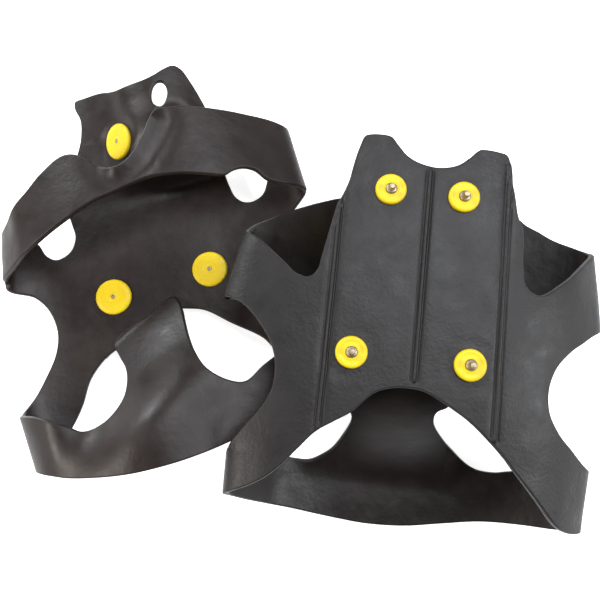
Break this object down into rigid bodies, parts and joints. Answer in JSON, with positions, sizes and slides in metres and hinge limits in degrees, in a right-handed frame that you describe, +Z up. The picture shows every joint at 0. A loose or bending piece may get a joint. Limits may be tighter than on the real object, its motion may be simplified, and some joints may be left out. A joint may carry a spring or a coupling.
{
  "type": "shoe ice cleats",
  "caption": "Pair of moulded rubber slip-on forefoot ice cleats with yellow disc studs and steel spikes, one sole down and one sole up.",
  "frame": {"origin": "centre of the bottom of the pair, on the surface it lies on", "axes": "+Z up, +Y towards the heel side of both cleats, +X from the left cleat towards the right cleat"},
  "size_m": [0.2782, 0.2114, 0.0518],
  "materials": {
    "rubber": "semi-matte moulded black rubber with a fine grain",
    "disc_plastic": "yellow moulded plastic",
    "spike_steel": "turned steel"
  },
  "bodies": {
    "left_sole": {"left_sole_web": "rubber", "left_front_left_spike": "spike_steel", "left_front_left_outer_disc": "disc_plastic", "left_front_left_inner_disc": "disc_plastic", "left_front_right_spike": "spike_steel", "left_front_right_outer_disc": "disc_plastic", "left_front_right_inner_disc": "disc_plastic"},
    "left_tab": {"left_pull_tab": "rubber", "left_rear_left_spike": "spike_steel", "left_rear_left_outer_disc": "disc_plastic", "left_rear_left_inner_disc": "disc_plastic", "left_rear_right_spike": "spike_steel", "left_rear_right_outer_disc": "disc_plastic", "left_rear_right_inner_disc": "disc_plastic"},
    "left_rear": {"left_rear_strap": "rubber"},
    "left_toe": {"left_toe_strap": "rubber"},
    "right_sole": {"right_sole_web": "rubber", "right_front_left_spike": "spike_steel", "right_front_left_outer_disc": "disc_plastic", "right_front_left_inner_disc": "disc_plastic", "right_front_right_spike": "spike_steel", "right_front_right_outer_disc": "disc_plastic", "right_front_right_inner_disc": "disc_plastic"},
    "right_tab": {"right_pull_tab": "rubber", "right_rear_left_spike": "spike_steel", "right_rear_left_outer_disc": "disc_plastic", "right_rear_left_inner_disc": "disc_plastic", "right_rear_right_spike": "spike_steel", "right_rear_right_outer_disc": "disc_plastic", "right_rear_right_inner_disc": "disc_plastic"},
    "right_rear": {"right_rear_strap": "rubber"},
    "right_toe": {"right_toe_strap": "rubber"}
  },
  "joints": [
    {"name": "left_rear_strap_flex", "type": "hinge", "parent": "left_sole", "child": "left_rear", "pos_m": [-0.06679, 0.0384, 0.018], "axis": [0.9588, 0.284, 0], "range_deg": [-6, 25], "stiffness_Nm_per_rad": 0.6},
    {"name": "left_toe_strap_flex", "type": "hinge", "parent": "left_sole", "child": "left_toe", "pos_m": [-0.04237, -0.04406, 0.018], "axis": [0.9588, 0.284, 0], "range_deg": [-5, 20], "stiffness_Nm_per_rad": 0.6},
    {"name": "left_pull_tab_flex", "type": "hinge", "parent": "left_sole", "child": "left_tab", "pos_m": [-0.06912, 0.04626, 0.0066], "axis": [0.9588, 0.284, 0], "range_deg": [-20, 5], "stiffness_Nm_per_rad": 0.6},
    {"name": "right_cleat_slide_off", "type": "slide", "parent": "left_sole", "child": "right_sole", "axis": [0.994, -0.1097, 0], "range_m": [0, 0.1]},
    {"name": "right_rear_strap_flex", "type": "hinge", "parent": "right_sole", "child": "right_rear", "pos_m": [0.05336, 0.00147, 0.03], "axis": [0.994, -0.1097, 0], "range_deg": [-20, 8], "stiffness_Nm_per_rad": 0.6},
    {"name": "right_toe_strap_flex", "type": "hinge", "parent": "right_sole", "child": "right_toe", "pos_m": [0.04414, -0.08202, 0.03], "axis": [0.994, -0.1097, 0], "range_deg": [-20, 8], "stiffness_Nm_per_rad": 0.6},
    {"name": "right_pull_tab_flex", "type": "hinge", "parent": "right_sole", "child": "right_tab", "pos_m": [0.05448, 0.01161, 0.0452], "axis": [0.994, -0.1097, 0], "range_deg": [-30, 15], "stiffness_Nm_per_rad": 0.6}
  ]
}
